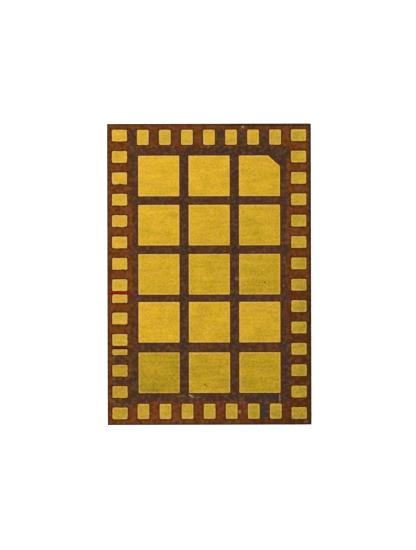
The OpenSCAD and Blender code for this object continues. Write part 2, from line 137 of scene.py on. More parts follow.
def noise(material, size, detail=2, stretch=(1, 1, 1), offset=0.0):
    # Fractal noise whose lumps are about size metres across, divided by stretch
    texture = addNode(material, "ShaderNodeTexNoise", Scale=1 / size, Detail=detail)
    join(material, patternPlace(material, stretch, offset), texture.inputs["Vector"])
    return texture.outputs["Fac"]


def ramp(material, fac, low, high, start=0.0, end=1.0):
    # start at low and below it, end at high and above it, straight between them
    span = addNode(material, "ShaderNodeMapRange", clamp=True)
    join(material, fac, span.inputs["Value"])
    for key, value in (("From Min", low), ("From Max", high), ("To Min", start), ("To Max", end)):
        span.inputs[key].default_value = value
    return span.outputs["Result"]


def cloud(material, size, span, share=(0, 1), detail=2, stretch=(1, 1, 1), offset=0.0):
    # Noise run through a ramp, which goes from one value of share to the other between the two of span
    return ramp(material, noise(material, size, detail, stretch, offset), *span, *share)


def calculate(material, operation, first, second):
    # One arithmetic node on two outputs, or on an output and a number
    node = addNode(material, "ShaderNodeMath", operation=operation)
    for value, socket in ((first, node.inputs[0]), (second, node.inputs[1])):
        if isinstance(value, (int, float)):
            socket.default_value = value
        else:
            join(material, value, socket)
    return node.outputs[0]


def blendColor(material, fac, first, second, kind="MIX"):
    # Mix from first to second by fac, each an output or a plain value. The kind MULTIPLY ends at their
    # product. The colours of the mix node are its sockets 6 and 7, and its output 2.
    mixer = addNode(material, "ShaderNodeMix", data_type="RGBA", blend_type=kind)
    for value, socket in ((fac, mixer.inputs[0]), (first, mixer.inputs[6]), (second, mixer.inputs[7])):
        if isinstance(value, (int, float, tuple)):
            socket.default_value = value
        else:
            join(material, value, socket)
    return mixer.outputs[2]


def setInput(material, name, output):
    # Joins an output to a socket of the shader
    join(material, output, material.node_tree.nodes["Principled BSDF"].inputs[name])


def setBump(material, height, depth):
    # Bumps that stand depth metres high where height is 1
    bump = addNode(material, "ShaderNodeBump", Distance=depth)
    join(material, height, bump.inputs["Height"])
    setInput(material, "Normal", bump.outputs["Normal"])


def attribute(material, name):
    # A number kept at each point of the mesh
    return addNode(material, "ShaderNodeAttribute", attribute_name=name).outputs["Fac"]


markLook = {"ragged": 0.05 * mm, "fade": (1.1, 1.6)}  # lump size of the edge's noise; where a mark fades out


def paintMarks(material, color, marks, tones):
    # Small marks on a face. Each is (x, y, half length, half width, angle in degrees, tone, strength), in
    # millimetres from the middle: an ellipse that fades out where the distance from its centre, as a share of
    # its half sizes, plus a fine noise runs through the fade.
    ragged = noise(material, markLook["ragged"])
    for x, y, length, width, angle, tone, strength in marks:
        fit = addNode(
            material, "ShaderNodeMapping", vector_type="TEXTURE", Location=(x * mm, y * mm, 0),
            Rotation=(0, 0, np.radians(angle)), Scale=(length * mm, width * mm, 1)
        )
        join(material, objectPlace(material), fit.inputs["Vector"])
        reach = addNode(material, "ShaderNodeVectorMath", operation="LENGTH")
        join(material, fit.outputs["Vector"], reach.inputs[0])
        away = calculate(material, "ADD", reach.outputs["Value"], ragged)
        color = blendColor(material, ramp(material, away, *markLook["fade"], strength, 0), color, tones[tone])
    return color


# Mesh building
def makePiece(name, points, faces, material, shares, sharpAngle):
    # A smooth shaded mesh, sharp where faces meet at more than sharpAngle, that keeps each of the shares as a
    # number at its points and rides on the body
    mesh = bpy.data.meshes.new(name)
    mesh.from_pydata(points.tolist(), [], faces)
    for key, values in shares.items():
        layer = mesh.attributes.new(key, "FLOAT", "POINT")
        layer.data.foreach_set("value", np.asarray(values, np.float32))
    mesh.polygons.foreach_set("use_smooth", np.ones(len(mesh.polygons), bool))
    mesh.set_sharp_from_angle(angle=sharpAngle)
    mesh.materials.append(material)
    piece = bpy.data.objects.new(name, mesh)
    bpy.context.scene.collection.objects.link(piece)
    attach(piece, "root")
    return piece


def ringStrip(inner, outer):
    # Quads between two closed rings of points, given as index arrays of one length
    return np.stack([inner, outer, np.roll(outer, -1), np.roll(inner, -1)], axis=1)


# Shapes read off the frame
readLook = {
    "digits": 8,  # decimals of a metre to which equal points are merged
    "rowDigits": 5,  # decimals to which the lands of one row agree
    "indexCutLeast": 0.1 * mm,  # a corner cut by more than this is the index cut, and less is a rounding
}


def upperFaces(node):
    # Merged points of a node, and the triangles that lie flat at its highest level
    mesh = nodes[node].data
    points = np.empty(len(mesh.vertices) * 3)
    mesh.vertices.foreach_get("co", points)
    points = np.round(points.reshape(-1, 3), readLook["digits"])
    points, index = np.unique(points, axis=0, return_inverse=True)
    mesh.calc_loop_triangles()
    triangles = np.empty(len(mesh.loop_triangles) * 3, int)
    mesh.loop_triangles.foreach_get("vertices", triangles)
    triangles = index.ravel()[triangles].reshape(-1, 3)
    level = points[:, 2].max() - near
    return points, triangles[np.all(points[triangles][:, :, 2] > level, axis=1)]


def landCorners(node):
    # Corners and corner radius of each separate land of a node. The triangles of the upper faces spread the
    # lowest point number among the points that they share until nothing changes, and each group is a land.
    # The radius is how far its lowest side starts from its left end.
    points, triangles = upperFaces(node)
    label = np.arange(len(points))
    settled = False
    while not settled:
        before = label.copy()
        np.minimum.at(label, triangles.ravel(), np.repeat(label[triangles].min(axis=1), 3))
        settled = np.array_equal(before, label)
    found = []
    for group in np.unique(label[triangles]):
        land = points[np.unique(triangles[label[triangles[:, 0]] == group])]
        low, high = land.min(axis=0), land.max(axis=0)
        cut = [land[land[:, 1] > high[1] - near, 0].max(), land[land[:, 0] > high[0] - near, 1].max()]
        corners = [[low[0], low[1]], [high[0], low[1]], [high[0], high[1]], [low[0], high[1]]]
        if high[0] - cut[0] > readLook["indexCutLeast"]:
            corners[2:3] = [[high[0], cut[1]], [cut[0], high[1]]]
        radius = land[land[:, 1] < low[1] + near, 0].min() - low[0]
        found.append((np.array(corners), radius))
    rowDigits = readLook["rowDigits"]
    return sorted(found, key=lambda land: (-round(land[0][:, 1].mean(), rowDigits), land[0][:, 0].mean()))


def outerSides(node):
    # Ends of the sides that only one of a node's upper triangles has
    points, triangles = upperFaces(node)
    sides = np.concatenate([triangles[:, [0, 1]], triangles[:, [1, 2]], triangles[:, [2, 0]]])
    sides, count = np.unique(np.sort(sides, axis=1), axis=0, return_counts=True)
    return points[sides[count == 1]][:, :, :2]


def shapeDistance(x, y, sides):
    # Distance to the nearest side, taken below 0 where a line to the right crosses an odd number of sides
    least = np.full(len(x), np.inf)
    crossed = np.zeros(len(x), int)
    for (x0, y0), (x1, y1) in sides:
        run, rise = x1 - x0, y1 - y0
        along = np.clip(((x - x0) * run + (y - y0) * rise) / (run ** 2 + rise ** 2), 0, 1)
        least = np.minimum(least, np.hypot(x - x0 - along * run, y - y0 - along * rise))
        if rise:
            crossed += ((y0 <= y) != (y1 <= y)) & (x < x0 + (y - y0) * run / rise)
    return np.where(crossed % 2, -least, least)


groundNodes = sorted(name for name in nodes if name.startswith("ground_land_"))
edgeNodes = ["left_lands", "right_lands", "top_lands", "bottom_lands"]
lands = {name: landCorners(name) for name in edgeNodes + groundNodes}
print("lands found:", sum(len(found) for found in lands.values()))

outlineLook = {
    "lap": 4 * micron,  # how far the mask laps over a land's edge
    "cutRadius": 12 * micron,  # radius where the index cut meets the sides
    "step": 20 * micron,  # distance between points along a side
    "cornerSteps": 5,
    "ripple": {"left_lands": 5 * micron, "right_lands": 3.5 * micron},  # how far an edge wanders
    "plainRipple": 2 * micron,  # the same for the other nodes
    "ragged": 9 * micron,  # added on the lower edge of a ragged land
    "raggedLands": (2, 3, 4, 6, 8),  # lands of the left column, from the top, away from the narrow gaps
}


def windowOutline(node, number, corners, radius):
    # Points and outward normals round a polygon with rounded corners: at each corner an arc whose centre lies
    # radius inside both sides, and between two arcs a straight run. Then every point moves along its normal
    # by the ripple. The polygon is the land's, made smaller by the lap on each side.
    look = outlineLook
    middle = (corners.min(axis=0) + corners.max(axis=0)) / 2
    corners = middle + (corners - middle) * (1 - 2 * look["lap"] / np.ptp(corners, axis=0))
    arcs = []
    for i, corner in enumerate(corners):
        before, after = corners[i - 1], corners[(i + 1) % len(corners)]
        into, out = corner - before, after - corner
        into, out = into / np.linalg.norm(into), out / np.linalg.norm(out)
        turn = np.arctan2(into[0] * out[1] - into[1] * out[0], into @ out)
        bend = radius if len(corners) == 4 else look["cutRadius"]
        centre = corner + bend * np.array([-into[1], into[0]]) - bend * np.tan(turn / 2) * into
        angles = np.arctan2(-into[0], into[1]) + turn * np.linspace(0, 1, look["cornerSteps"] + 1)
        arc = np.stack([np.cos(angles), np.sin(angles)], axis=1)
        arcs.append((centre + bend * arc, arc))
    points, normals = [], []
    for (arcPoints, arcNormals), (nextPoints, _) in zip(arcs, arcs[1:] + arcs[:1]):
        run = nextPoints[0] - arcPoints[-1]
        pieces = max(int(np.linalg.norm(run) / look["step"]), 1)
        share = np.arange(1, pieces)[:, None] / pieces
        points += [arcPoints, arcPoints[-1] + run * share]
        normals += [arcNormals, np.repeat(arcNormals[-1:], pieces - 1, axis=0)]
    points, normals = np.concatenate(points), np.concatenate(normals)
    amount = look["ripple"].get(node, look["plainRipple"])
    if node == "left_lands" and number in look["raggedLands"]:
        amount = amount + look["ragged"] * np.clip(-normals[:, 1], 0, 1)
    return points + normals * (amount * wander(*points.T))[:, None], normals


outlines = {
    name: [windowOutline(name, i, *land) for i, land in enumerate(found)] for name, found in lands.items()
}
pourSides, padSides = outerSides("ground_pour"), outerSides("edge_pads")
windowSides = np.array([
    (corners[i - 1], corners[i])
    for found in lands.values() for corners, _ in found for i in range(len(corners))
])

# Solder mask of the land side
maskLook = {
    "top": faceTop - 1.2 * micron,
    "lip": 7 * micron,  # how far the film falls towards a window
    "rimWidth": 31 * micron,  # over this width
    "rimSteps": 4,
    "sag": 6 * micron,  # how much lower the film lies between copper shapes
    "slope": 30 * micron,
    "fieldStep": 33 * micron,  # distance between the sheet's points
    "seed": 3,
    "scatter": 0.2,  # their shift off an even grid, and least distance to a side and to a rim, in steps
    "sideRoom": 0.3,
    "rimRoom": 0.4,
    "sideStep": 0.01,  # distance between points along an outer side, as a share of it
    "swell": 0.6 * micron,  # long waves of the film, and how many times longer than the small ones
    "swellStretch": 4,
    "sawnFall": 4 * micron,  # how far the film's outer edge is rubbed down
    "sawnWidth": 34 * micron,
    "shareReach": 0.2 * mm,  # distances kept on the mesh end here
    "sharpAngle": 0.6,
}
triangulation = {"insideOnly": 1, "mergeDistance": 1e-7}  # keeps what lies inside the loops; in millimetres

# Each patch is x, y, half length and half width, in millimetres, and how much warmer, or below 0 darker
filmPatches = [
    (-1.80, 1.2, 0.16, 1.9, 0.75),  # left band
    (-1.80, -0.9, 0.16, 1.1, 0.9),
    (-1.1, 2.85, 0.9, 0.13, 0.45),  # top band, left half
    (0.9, 2.85, 1.2, 0.13, -0.45),  # its right half
    (-1.1, -2.87, 0.9, 0.11, 0.3),  # bottom band, left half
    (1.0, -2.87, 1.1, 0.11, -0.5),  # its right half
    (1.75, -2.2, 0.14, 0.8, -0.5),  # right band, lower part
    (1.75, 1.0, 0.14, 1.8, 0.1),
]
filmWebs = {"tall": -0.15, "wide": 0.5, "crossing": -0.45}  # the same for the webs between ground lands


def filmWarmth(x, y):
    # The warmth of the film over copper: a sum of exp(-(dx / l)^4 - (dy / w)^4) for the patches, plus the
    # number of the web where the point lies in one
    warmth = np.zeros(len(x))
    for middleX, middleY, halfX, halfY, amount in filmPatches:
        spreadX, spreadY = (x / mm - middleX) / halfX, (y / mm - middleY) / halfY
        warmth += amount * np.exp(-spreadX ** 4 - spreadY ** 4)  # flat in the middle, with soft sides
    boxes = np.array([[list(corner)[:2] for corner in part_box(name)] for name in groundNodes])
    (left, bottom), (right, top) = boxes[:, 0].min(axis=0), boxes[:, 1].max(axis=0)
    inside = (x > left) & (x < right) & (y > bottom) & (y < top)
    tall, wide = inside.copy(), inside.copy()
    for low, high in boxes:
        tall &= (x < low[0]) | (x > high[0])
        wide &= (y < low[1]) | (y > high[1])
    warmth += filmWebs["tall"] * (tall & ~wide) + filmWebs["wide"] * (wide & ~tall)
    return warmth + filmWebs["crossing"] * (wide & tall)


def buildMask(material):
    # Rims: a falling profile carried round every window. Between them the film is a triangulated sheet whose
    # height is its top less a share for bare laminate, for the rim and for the sawn edge. A copy of all
    # points at the underside closes it, with a wall round each loop.
    look = maskLook
    generator = np.random.default_rng(look["seed"])
    rings = [ring for name in lands for ring in outlines[name]]
    edge = np.arange(0, 1, look["sideStep"])[:, None]
    low, high = np.array(bodyLow[:2]), np.array(bodyHigh[:2])
    boxCorners = np.array([low, [high[0], low[1]], high, [low[0], high[1]]])
    bodySides = zip(boxCorners, np.roll(boxCorners, -1, axis=0))
    bodyLoop = np.concatenate([start + (end - start) * edge for start, end in bodySides])
    loops = [bodyLoop] + [points + normals * look["rimWidth"] for points, normals in rings]
    step = look["fieldStep"]
    grid = np.meshgrid(*(np.arange(start + step / 2, end, step) for start, end in zip(low, high)))
    grid = np.stack(grid, axis=2).reshape(-1, 2)
    grid += generator.uniform(-look["scatter"], look["scatter"], grid.shape) * step
    clear = np.min(high - np.abs(grid), axis=1) > look["sideRoom"] * step
    for found in lands.values():
        for corners, _ in found:
            reach = np.abs(grid - (corners.min(axis=0) + corners.max(axis=0)) / 2)
            reach -= (corners.max(axis=0) - corners.min(axis=0)) / 2
            clear &= np.max(reach, axis=1) > look["rimWidth"] + look["rimRoom"] * step
    grid = grid[clear]
    loopStart = np.cumsum([0] + [len(loop) for loop in loops])
    flat = np.concatenate(loops + [grid])
    loopFaces = [list(range(start, stop)) for start, stop in zip(loopStart, loopStart[1:])]
    sheet = delaunay_2d_cdt(
        (flat / mm).tolist(), [], loopFaces, triangulation["insideOnly"], triangulation["mergeDistance"]
    )
    place = np.empty(len(flat), int)  # where each point that went in came out
    for new, old in enumerate(sheet[3]):
        place[old] = new
    # Triangles that lie in the body's loop and in no window's
    triangles = np.array([face for face, source in zip(sheet[2], sheet[5]) if list(source) == [0]])
    used, triangles = np.unique(triangles, return_inverse=True)
    triangles = triangles.reshape(-1, 3)
    renumber = np.full(len(sheet[0]), -1)
    renumber[used] = np.arange(len(used))
    points = [np.array([tuple(point) for point in sheet[0]])[used] * mm]
    rim = [np.zeros(len(used))]
    quads, walls, count = [], [], len(used)
    for (ring, normals), start, stop in zip(rings, loopStart[1:], loopStart[2:]):
        outer = renumber[place[start:stop]]
        for i in range(look["rimSteps"] - 1, -1, -1):
            share = i / look["rimSteps"]
            inner = count + np.arange(len(ring))
            points.append(ring + normals * look["rimWidth"] * share)
            rim.append(np.full(len(ring), 1 - share))
            quads.append(ringStrip(inner, outer))
            count += len(ring)
            outer = inner
        walls.append(outer)
    flat, rim, quads = np.concatenate(points), np.concatenate(rim), np.concatenate(quads)
    x, y = flat[:, 0], flat[:, 1]
    pour, pads = shapeDistance(x, y, pourSides), shapeDistance(x, y, padSides)
    bare = smoothStep(np.minimum(pour, pads), 0, look["slope"])
    inward = np.minimum(high[0] - np.abs(x), high[1] - np.abs(y))
    sawn = 1 - smoothStep(inward, 0, look["sawnWidth"])
    top = look["top"] - look["sag"] * bare - look["lip"] * rim ** 2 - look["sawnFall"] * sawn
    top -= look["swell"] * (1 + wander(x / look["swellStretch"], y / look["swellStretch"])) / 2
    under = np.where(np.minimum(pour, pads) < 0, landBottom, copperBottom)
    solid = np.concatenate([np.column_stack([flat, top]), np.column_stack([flat, under])])
    faces = triangles.tolist() + quads.tolist()
    faces += (triangles[:, ::-1] + count).tolist() + (quads[:, ::-1] + count).tolist()
    for ring in walls:
        faces += np.stack([ring, np.roll(ring, -1), np.roll(ring, -1) + count, ring + count], axis=1).tolist()
    ring = renumber[place[:loopStart[1]]]
    faces += np.stack([np.roll(ring, -1), ring, ring + count, np.roll(ring, -1) + count], axis=1).tolist()
    toWindow = shapeDistance(x, y, windowSides) + outlineLook["lap"]
    away = np.where(rim > 0, look["rimWidth"] * (1 - rim), toWindow)
    reach = look["shareReach"]
    shares = {
        "away": np.minimum(away, reach) / mm,
        "beside": np.clip(pour, -reach, reach) / mm,
        "inward": np.minimum(inward, reach) / mm,
        "warm": filmWarmth(x, y),
    }
    shares = {key: np.tile(values, 2) for key, values in shares.items()}  # the underside has the same
    piece = makePiece("land_side_mask", solid, faces, material, shares, look["sharpAngle"])
    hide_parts("land_mask")
    return piece


maskTones = {
    "copper": lit(85, 58, 32),
    "copperWarm": lit(108, 60, 16),
    "copperPurple": lit(89, 46, 58),
    "copperGreen": lit(67, 66, 32),
    "copperDark": lit(60, 43, 29),
    "laminate": lit(126, 66, 12),
    "laminatePink": lit(134, 62, 38),
    # darker laminate: the painted light falloff towards the lower right, the dark band along the bottom side
    # and one mark
    "laminateDark": lit(74, 40, 14),
    "shadow": lit(62, 38, 20),
    # ring round each window: the film's own darker edge, with painted shade where the film falls into the
    # window
    "ring": lit(92, 46, 0),
    "sawn": lit(64, 42, 16),
    "fleck": lit(140, 110, 72),
    "redDye": lit(160, 10, 8),
    "violet": lit(72, 48, 88),
    "slate": lit(60, 54, 52),
    "maroon": lit(92, 14, 12),
    "pale": lit(196, 164, 132),
    "tan": lit(134, 104, 66),
    "rust": lit(176, 116, 82),
    "pink": lit(226, 160, 136),
}
maskMarks = [
    (-2.13, -0.450, 0.36, 0.048, 0, "redDye", 0.95),  # red line in the first narrow gap
    (-2.08, -1.708, 0.27, 0.03, 0, "maroon", 0.8),  # maroon line in the second
    (-1.66, -0.51, 0.11, 0.07, 0, "violet", 0.6),
    (0.784, 3.43, 0.032, 0.028, 0, "pink", 0.8),
    (0.64, -0.1, 0.05, 0.055, 60, "tan", 0.8),
    (-0.66, -2.83, 0.14, 0.02, 0, "tan", 0.6),
    (-0.42, -2.83, 0.07, 0.024, -35, "pale", 0.7),
    (-0.28, -2.86, 0.11, 0.016, 6, "tan", 0.6),
    (0.70, -3.195, 0.045, 0.045, 0, "rust", 0.8),
    (1.628, -2.87, 0.020, 0.11, 0, "pale", 0.5),
    (2.24, -3.42, 0.07, 0.035, 25, "pale", 0.4),
    (1.29, -3.335, 0.08, 0.018, 0, "pale", 0.2),
    (1.772, -0.85, 0.014, 0.16, 0, "redDye", 0.45),
    (-2.22, -2.42, 0.05, 0.04, -35, "tan", 0.5),
    (-2.23, -1.93, 0.05, 0.05, 0, "tan", 0.4),
    (-2.21, -2.98, 0.035, 0.06, 0, "tan", 0.5),
    (-1.78, 2.9, 0.05, 0.09, 15, "fleck", 0.35),
    (0.0, 2.98, 0.03, 0.09, -20, "fleck", 0.4),
    (1.245, -3.18, 0.09, 0.26, 0, "slate", 0.75),
    (1.35, -2.85, 0.35, 0.09, 0, "slate", 0.5),
    (-1.77, 2.7, 0.1, 0.3, 0, "slate", 0.3),
    (-1.03, 3.19, 0.42, 0.16, 0, "copper", 0.5),
    (0.57, -0.53, 0.9, 0.03, 0, "violet", 0.2),
    (0.55, 1.72, 0.9, 0.03, 0, "violet", 0.18),
    (2.07, 1.49, 0.14, 0.05, 0, "laminatePink", 0.7),
    (-2.08, -0.01, 0.14, 0.05, 0, "laminatePink", 0.7),
    (2.07, 0.5, 0.14, 0.05, 0, "laminateDark", 0.3),
]

# A row of four is a ramp: from, to, share there and share there. It runs over X or Y, over the grain, or over
# a distance in millimetres from a window, the ground copper's side or a sawn side.
filmLook = {
    "roughness": 0.5,
    "specular": 0.02,
    "warmth": {"size": 0.4 * mm, "span": (0.3, 0.7), "share": (-0.3, 0.3)},  # added to the patches
    "green": {"size": 0.1 * mm, "span": (0.48, 0.64), "share": (0, 0.6), "offset": 7 * mm},
    "purple": {"size": 0.11 * mm, "span": (0.44, 0.62), "share": (0, 0.7), "offset": 3 * mm},
    "pink": {"size": 0.13 * mm, "span": (0.44, 0.6), "share": (0, 0.9), "offset": 5 * mm},
    "grain": {"size": 0.075 * mm, "detail": 3},
    "shadow": (0.34, 0.5, 0.5, 0),
    "fleck": (0.5, 0.7, 0, 0.33),
    "waver": (0.3, 0.7, -0.012, 0.012),  # millimetres by which the grain moves the borders below
    "pourSide": (-0.02, 0.03, 1, 0),  # share of the colour over copper
    # ring round each window, partly painted shade
    "windowRingShade": (0.018, 0.052, 0.9, 0),
    "falloffPower": 3,  # painted light falloff: the laminate grows darker by the share of the way to the right, to this power, times this ramp down the face
    "falloffDown": (0.2 * mm, -0.7 * mm, 0.15, 0.8),  # times this ramp down the face
    "sideLine": (0.045, 0.08, 1, 0),  # dark line along two sides, times the larger of the next two shares
    "topAcross": (-0.6 * mm, 0.6 * mm, 0, 0.9),  # the first is this ramp times topUp
    "topUp": (0.9 * bodyHigh.y, 0.96 * bodyHigh.y, 0, 1),
    "rightAcross": (0.93 * bodyHigh.x, 0.97 * bodyHigh.x, 0.3, 0.8),
    "sawnLine": (0.015, 0.045, 1, 0),  # thin line along all sides, darker downwards
    "sawnFall": (0.3 * bodyHigh.y, bodyLow.y, 0.35, 0.75),
    "bottomAcross": (0, 0.9 * bodyHigh.x, 0, 0.6),  # dark share at the bottom, times bottomDown
    "bottomDown": (0.93 * bodyLow.y, 0.96 * bodyLow.y, 0, 1),
    "bump": 0.8 * micron,
}


def maskMaterial():
    # Film over copper: grey brown, warmer or darker by patches, with green and purple clouds. Over bare
    # laminate: red brown with pink clouds, and a painted light falloff that darkens it towards the lower
    # right. A grain makes both darker and lighter. A dark orange ring lies round each window, the film's own
    # darker edge with painted shade where the film falls into the window. Then come the marks, and last dark
    # lines at the sawn sides.
    look, tones = filmLook, maskTones
    material = newMaterial("tan film over copper", tones["copper"], look["roughness"], 0, look["specular"])
    alongX, alongY = objectAxis(material, "X"), objectAxis(material, "Y")
    warm = calculate(material, "ADD", attribute(material, "warm"), cloud(material, **look["warmth"]))
    copperColor = blendColor(material, ramp(material, warm, 0, 1), tones["copper"], tones["copperWarm"])
    copperColor = blendColor(material, ramp(material, warm, -1, 0, 1, 0), copperColor, tones["copperDark"])
    copperColor = blendColor(material, cloud(material, **look["green"]), copperColor, tones["copperGreen"])
    copperColor = blendColor(material, cloud(material, **look["purple"]), copperColor, tones["copperPurple"])
    pink = cloud(material, **look["pink"])
    bareColor = blendColor(material, pink, tones["laminate"], tones["laminatePink"])
    # painted light falloff: the bare laminate darkens towards the lower right
    toRight = calculate(material, "POWER", ramp(material, alongX, bodyLow.x, bodyHigh.x), look["falloffPower"])
    lowerRightFalloff = calculate(material, "MULTIPLY", toRight, ramp(material, alongY, *look["falloffDown"]))
    bareColor = blendColor(material, lowerRightFalloff, bareColor, tones["laminateDark"])
    grain = noise(material, **look["grain"])
    waver = ramp(material, grain, *look["waver"])
    beside = calculate(material, "ADD", attribute(material, "beside"), waver)
    color = blendColor(material, ramp(material, beside, *look["pourSide"]), bareColor, copperColor)
    color = blendColor(material, ramp(material, grain, *look["shadow"]), color, tones["shadow"])
    color = blendColor(material, ramp(material, grain, *look["fleck"]), color, tones["fleck"])
    away = calculate(material, "ADD", attribute(material, "away"), waver)
    # the ring round each window, partly painted shade where the film falls into the window
    color = blendColor(material, ramp(material, away, *look["windowRingShade"]), color, tones["ring"])
    color = paintMarks(material, color, maskMarks, tones)
    inward = calculate(material, "ADD", attribute(material, "inward"), waver)
    topSide, bottomSide = (
        calculate(material, "MULTIPLY", ramp(material, alongX, *across), ramp(material, alongY, *along))
        for across, along in ((look["topAcross"], look["topUp"]), (look["bottomAcross"], look["bottomDown"]))
    )
    sides = calculate(material, "MAXIMUM", topSide, ramp(material, alongX, *look["rightAcross"]))
    sideShare = calculate(material, "MULTIPLY", ramp(material, inward, *look["sideLine"]), sides)
    color = blendColor(material, sideShare, color, tones["sawn"])
    sawnShare = calculate(
        material, "MULTIPLY",
        ramp(material, inward, *look["sawnLine"]), ramp(material, alongY, *look["sawnFall"])
    )
    color = blendColor(material, sawnShare, color, tones["sawn"])
    color = blendColor(material, bottomSide, color, tones["laminateDark"])
    setInput(material, "Base Color", color)
    setBump(material, grain, look["bump"])
    return material


# Plated lands
goldLook = {
    "under": 3 * micron,  # how far the plating reaches under the rim of the mask
    "wall": 0.55,  # height of its outer wall and of the rim's edge, as shares of the thickness
    "rim": 0.86,
    "profile": ((3, 0.97), (6, 1.0), (15, 1.0), (30, 1.0), (50, 1.0)),  # microns inwards and height share
    "rings": 8,  # steps from there to the middle
    "dip": 0.25 * micron,  # waves of the flat face, and how many times longer than the small ones
    "dipStretch": 2,
    "sharpAngle": 0.9,
}
# Painted light on the gold, brighter towards the top left and darker towards the lower right, where u runs
# from -1 at the left to 1 and v from -1 at the bottom to 1
paintedLightLook = {
    "groundArea": (0.74, 0.83),  # a land that lies within these u and v is a ground land
    "ground": (0.58, -0.14, 0.25),  # brightness in the middle, its rise with u and its rise with v
    "edge": (0.56, -0.16, 0.12),
    "fourthRow": (-0.48, -0.17),  # v from and to
    "fourthRowLift": 0.644,  # added to v, which makes it the second row's
    "firstColumn": -0.25,  # u at its right side
    "fifthRowFall": (0.16, -0.06),  # in the first column and in the others
    "leftBelow": (0.48, 0.49),  # at the left the edge lands grow duller over this -v,
    "leftAcross": (-1, -0.3),  # less and less over this u,
    "leftFall": (0.37, 0.22),  # by the first number plus the second times v
    "rightAcross": (0.85, 0.9),  # at the right, which starts over this u,
    "rightFall": 0.05,  # they are this much duller,
    "rightLift": 0.13,  # and this much brighter again
    "rightAbove": (0.25, 0.45),  # over this v
}


def paintedLandLight(x, y):
    # Painted light falloff across the face, brighter at the top left and darker at the lower right.
    # Brightness:
    # middle + rise u + rise v, with one set of three numbers for the ground lands and one for the edge lands.
    # The fourth row of ground lands takes the second's v. The fifth row and the left and right edge lands
    # depart from the sum by the amounts above, each times its own step.
    look = paintedLightLook
    u, v = x / bodyHigh.x, y / bodyHigh.y
    limitU, limitV = look["groundArea"]
    inner = (np.abs(u) < limitU) & (np.abs(v) < limitV)
    rowLow, rowHigh = look["fourthRow"]
    middle, riseU, riseV = look["ground"]
    ground = middle + riseU * u + riseV * (v + look["fourthRowLift"] * ((v < rowHigh) & (v > rowLow)))
    ground -= (v < rowLow) * np.where(u < look["firstColumn"], *look["fifthRowFall"])
    middle, riseU, riseV = look["edge"]
    edge = middle + riseU * u + riseV * v
    lowerLeft = smoothStep(-v, *look["leftBelow"]) * (1 - smoothStep(u, *look["leftAcross"]))
    leftFall, leftRise = look["leftFall"]
    edge -= (leftFall + leftRise * v) * lowerLeft
    rightLift = look["rightLift"] * smoothStep(v, *look["rightAbove"]) - look["rightFall"]
    return np.where(inner, ground, edge + rightLift * smoothStep(u, *look["rightAcross"]))


def buildLands(node, material):
    # Each land is a stack of rings: two round the window's outline moved outwards, the outline itself, the
    # profile's insets, where a ring is the outline times 1 - inset / half size on each axis, and copies of
    # the last one scaled down to the middle. A flat underside closes it.
    look = goldLook
    points, faces, inset, count = [], [], [], 0
    thickness = landTop - landBottom
    for ring, normals in outlines[node]:
        size = len(ring)
        centre, half = (ring.min(axis=0) + ring.max(axis=0)) / 2, np.ptp(ring, axis=0) / 2
        outer = ring + normals * look["under"]
        layers = [(outer, height, -look["under"]) for height in (0, look["wall"])] + [(ring, look["rim"], 0)]
        for inwards, height in look["profile"]:
            inwards = inwards * micron
            inner = centre + (ring - centre) * (1 - inwards / half)
            layers.append((inner, height, inwards))
        for i in range(1, look["rings"]):
            layers.append((centre + (inner - centre) * (1 - i / look["rings"]), 1.0, inwards))
        start = count
        for flat, height, inwards in layers:
            wave = 1 + wander(*(flat.T / look["dipStretch"]))
            dip = look["dip"] * wave * (height == 1.0)
            points.append(np.column_stack([flat, landBottom + thickness * height - dip]))
            inset.append(np.full(size, inwards / mm))
        points.append(np.array([[*centre, landTop], [*centre, landBottom]]))
        inset.append(np.full(2, inwards / mm))
        loops = [start + size * i + np.arange(size) for i in range(len(layers))]
        for outer, inner in zip(loops, loops[1:]):
            faces += ringStrip(inner, outer).tolist()
        count = start + size * len(loops) + 2
        last, first = loops[-1], loops[0]
        faces += np.stack([last, np.roll(last, -1), np.full(size, count - 2)], axis=1).tolist()
        faces += np.stack([np.roll(first, -1), first, np.full(size, count - 1)], axis=1).tolist()
    points, inset = np.concatenate(points), np.concatenate(inset)
    shares = {
        "inset": inset,
        "paintedLight": paintedLandLight(points[:, 0], points[:, 1]),
        "worn": np.full(len(points), node not in groundNodes),
    }
    piece = makePiece(node + "_plating", points, faces, material, shares, look["sharpAngle"])
    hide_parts(node)


goldTones = {
    "bright": lit(245, 192, 52),
    "dull": lit(142, 123, 20),
    "orange": (1.02, 0.97, 1.36, 1.0),  # tints that multiply the tone
    "green": (0.95, 1.01, 0.54, 1.0),
    "worn": lit(236, 196, 140),
    # painted highlight along each land's edge, at its bright and at its dull end
    "edge": lit(244, 206, 120),
    "edgeHighlightDull": lit(200, 166, 84),
    # painted shade at the land's shoulder, where the mask's rim meets it
    "shoulderShade": lit(150, 96, 16),
    "tarnish": lit(186, 160, 12),
    "speck": lit(96, 70, 10),
}
goldMarks = [
    (-0.105, -2.56, 0.03, 0.03, 0, "speck", 0.7),
    (-0.06, -2.6, 0.04, 0.015, 40, "speck", 0.5),
    (1.29, -0.185, 0.025, 0.02, 0, "speck", 0.7),
    (1.15, -0.21, 0.02, 0.02, 0, "speck", 0.5),
    (0.895, -0.185, 0.02, 0.02, 0, "speck", 0.45),
    (1.53, 0.02, 0.07, 0.5, 0, "tarnish", 0.5),
]

